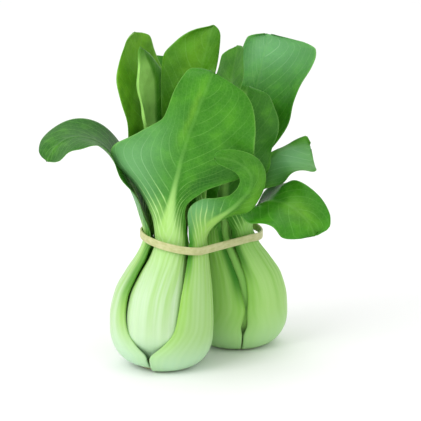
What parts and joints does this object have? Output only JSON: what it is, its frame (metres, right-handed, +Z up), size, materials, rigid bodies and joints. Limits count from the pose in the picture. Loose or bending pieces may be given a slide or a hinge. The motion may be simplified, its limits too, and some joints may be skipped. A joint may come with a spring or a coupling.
{
  "type": "bok choy bunch",
  "caption": "Bunch of bok choy: heads with swollen pale stalks round short cut stems, broad green blades above, held side by side by a rubber band at the neck.",
  "frame": {"origin": "on the surface, under the middle of the bounding box, between the two heads", "axes": "+Z up along the heads from the cut ends to the blade tips, +X to the right and -Y to the front as the picture shows the bunch"},
  "size_m": [0.1621, 0.1196, 0.1896],
  "materials": {
    "stem": "moist cut stem end, pale green-white",
    "leaf": "smooth waxy leaf, white-green ribbed stalk below and green blade above",
    "rubber_band": "plain tan rubber, slightly satin"
  },
  "bodies": {
    "root": {"stem_front": "stem", "stem_rear": "stem", "leaf_front_left": "leaf", "leaf_front_curled": "leaf", "leaf_front_back": "leaf", "leaf_front_face": "leaf", "leaf_front_right": "leaf", "leaf_front_left_back": "leaf", "leaf_front_folded": "leaf", "leaf_front_tall": "leaf", "leaf_front_heart": "leaf", "leaf_rear_right": "leaf", "leaf_rear_top": "leaf", "leaf_rear_left": "leaf", "leaf_rear_front": "leaf", "leaf_rear_side": "leaf", "leaf_rear_back": "leaf", "leaf_rear_folded": "leaf", "leaf_rear_inner": "leaf", "leaf_rear_heart": "leaf", "rubber_band": "rubber_band"}
  },
  "joints": []
}
